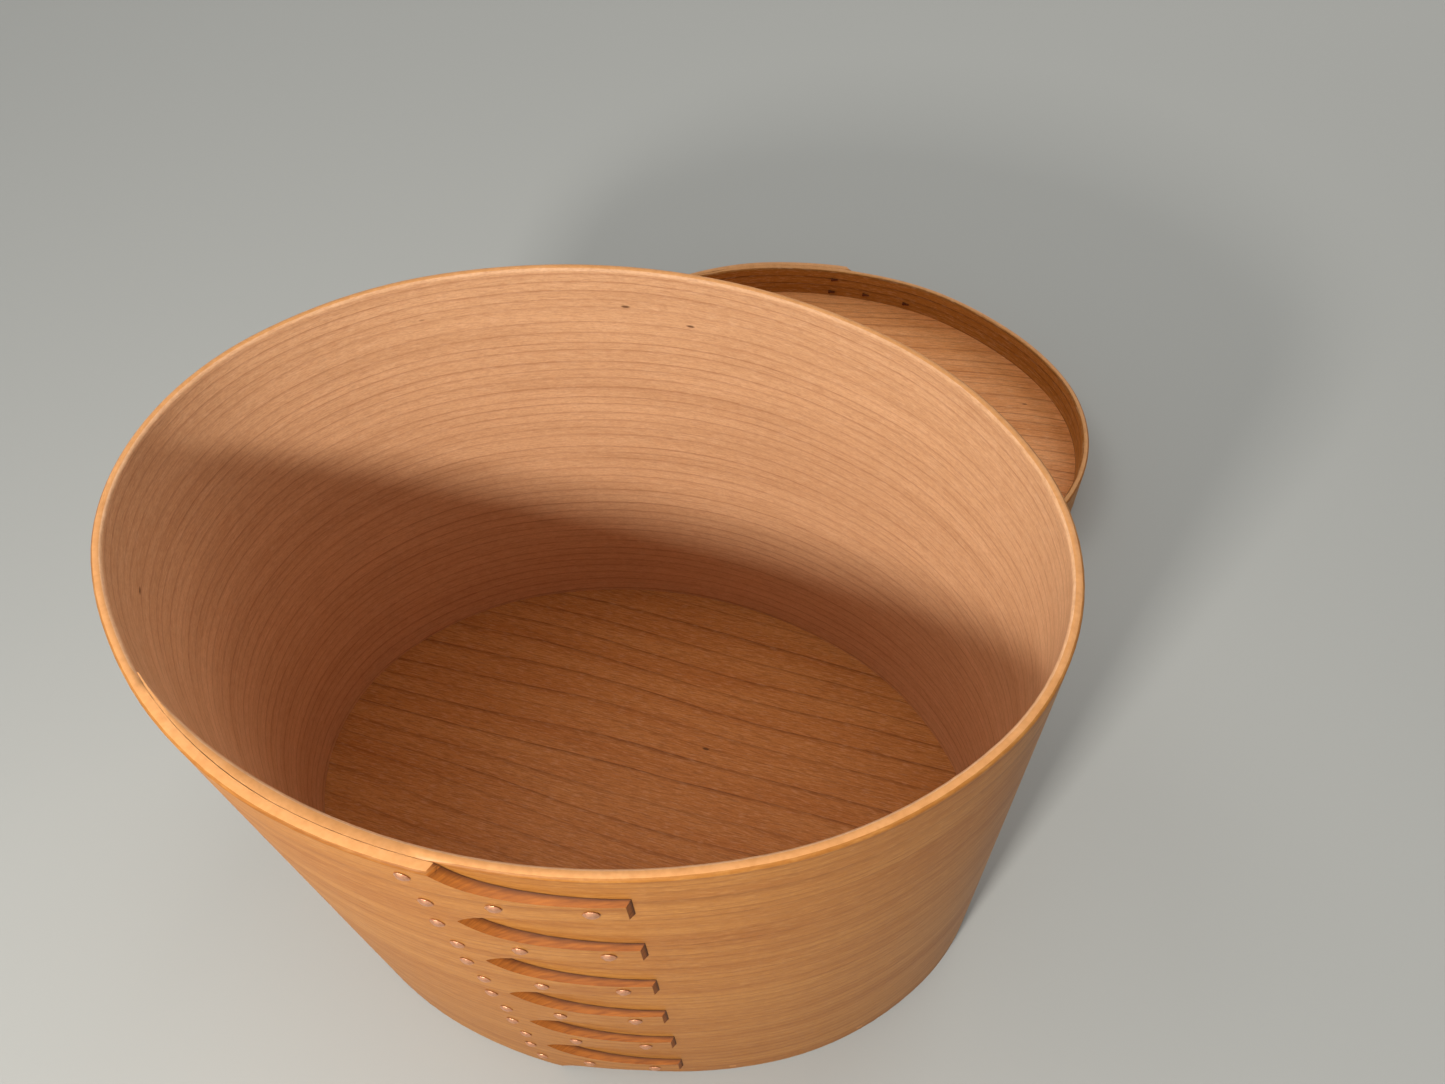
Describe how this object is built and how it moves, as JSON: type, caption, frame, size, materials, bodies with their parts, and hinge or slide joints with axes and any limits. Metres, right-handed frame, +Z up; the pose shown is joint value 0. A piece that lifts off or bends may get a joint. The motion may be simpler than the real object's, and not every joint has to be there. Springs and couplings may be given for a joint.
{
  "type": "bentwood oval box",
  "caption": "Open oval bentwood box with a swallowtail-fingered lap held by copper tacks, and its shallow lid lying upside down beside it.",
  "frame": {"origin": "centre of the box's underside, on the table", "axes": "+Z up out of the open box, +X along the long axis towards the finger tips, -Y towards the fingered lap"},
  "size_m": [0.2324, 0.3283, 0.152],
  "materials": {
    "cherry_strip": "thin cherry strip, steam-bent, sanded and oiled to a soft sheen",
    "cherry_board": "flat-sawn cherry board, sanded and oiled",
    "peg_wood": "split wooden pegs cut flush and oiled with the wall",
    "copper": "plain copper, slightly dulled, hammered heads"
  },
  "bodies": {
    "box": {"box_band": "cherry_strip", "box_bottom": "cherry_board", "box_seam_tacks": "copper", "finger_root_tacks": "copper", "finger_tip_tacks": "copper", "bottom_pegs": "peg_wood"},
    "lid": {"lid_band": "cherry_strip", "lid_top": "cherry_board", "lid_seam_tacks": "copper", "lid_root_tack": "copper", "lid_tip_tack": "copper", "lid_pegs": "peg_wood"}
  },
  "joints": [
    {"name": "lid_lift", "type": "slide", "parent": "box", "child": "lid", "axis": [0, 0, 1], "range_m": [0, 0.16]}
  ]
}
